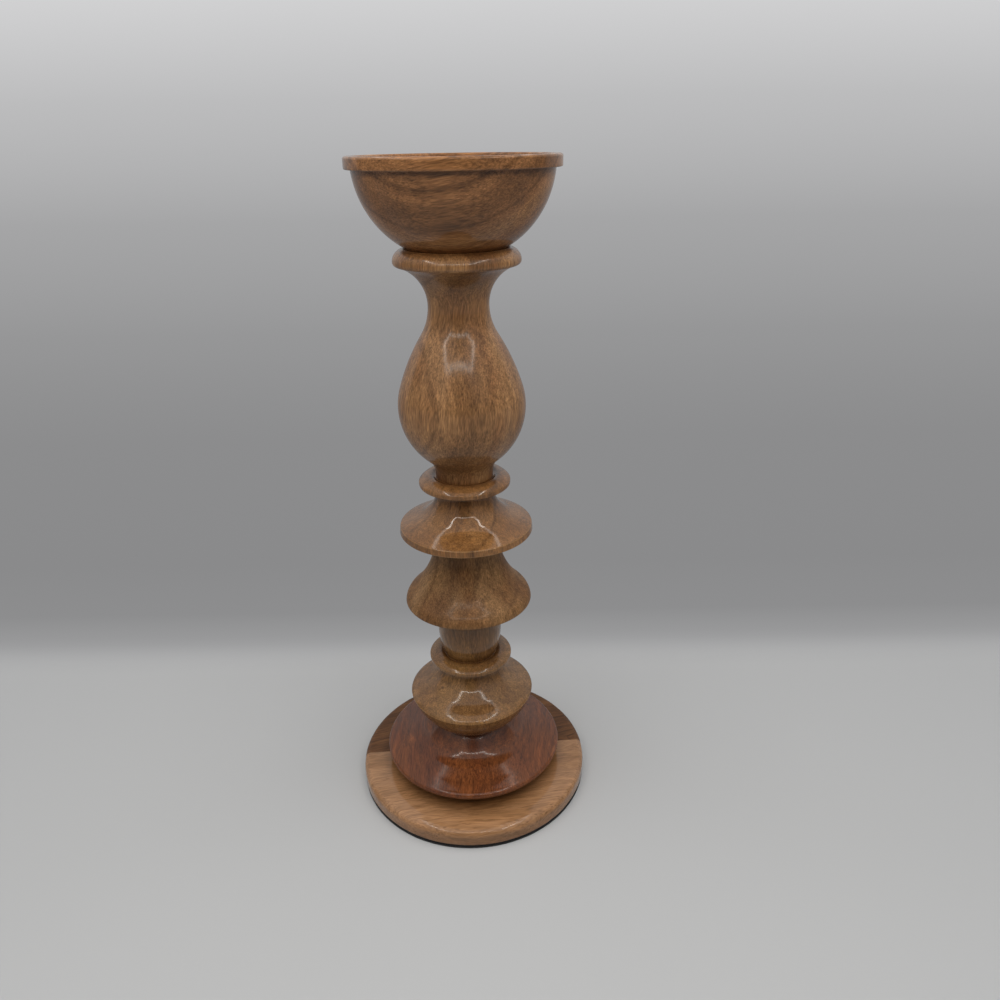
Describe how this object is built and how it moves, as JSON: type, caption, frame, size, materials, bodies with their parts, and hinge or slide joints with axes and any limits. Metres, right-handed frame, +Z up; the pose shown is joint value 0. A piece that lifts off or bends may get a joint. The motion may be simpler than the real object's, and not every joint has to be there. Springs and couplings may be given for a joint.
{
  "type": "pricket candle stand",
  "caption": "Tall turned wooden pricket candle stand: a round base, stacked vase, bell and bead turnings, and a drip bowl with a brass plate and a steel spike for one pillar candle.",
  "frame": {"origin": "centre of the felt pad's underside, where the turned axis meets the surface the stand rests on", "axes": "+Z up along the turned axis, towards the spike's tip; the front of the picture looks along +Y, with +X to the right"},
  "size_m": [0.1482, 0.1482, 0.385],
  "materials": {
    "bowl_wood": "clear gloss lacquer over mango wood, pinkish brown with dark arcs",
    "vase_wood": "clear gloss lacquer, fine upright dark streaks",
    "collar_wood": "clear gloss lacquer, orange brown",
    "bell_wood": "clear gloss lacquer, pinkish brown",
    "stem_wood": "clear gloss lacquer, olive brown",
    "saucer_wood": "clear gloss lacquer over a redder board",
    "front_board_wood": "clear satin lacquer over a light tan board",
    "rear_board_wood": "clear satin lacquer over a darker, figured board",
    "black_felt": "short dense felt",
    "plate_brass": "spun and lacquered",
    "spike_steel": "turned bright",
    "rod_steel": "zinc plated"
  },
  "bodies": {
    "root": {"felt_pad": "black_felt", "base_front_board": "front_board_wood", "base_rear_board": "rear_board_wood", "base_saucer": "saucer_wood", "lower_stem": "stem_wood", "bell": "bell_wood", "skirt_collar": "collar_wood", "vase": "vase_wood", "drip_bowl": "bowl_wood", "drip_plate": "plate_brass", "pricket_spike": "spike_steel", "tie_rod": "rod_steel", "foot_washer": "rod_steel", "lock_washer": "rod_steel", "foot_nut": "rod_steel"}
  },
  "joints": []
}
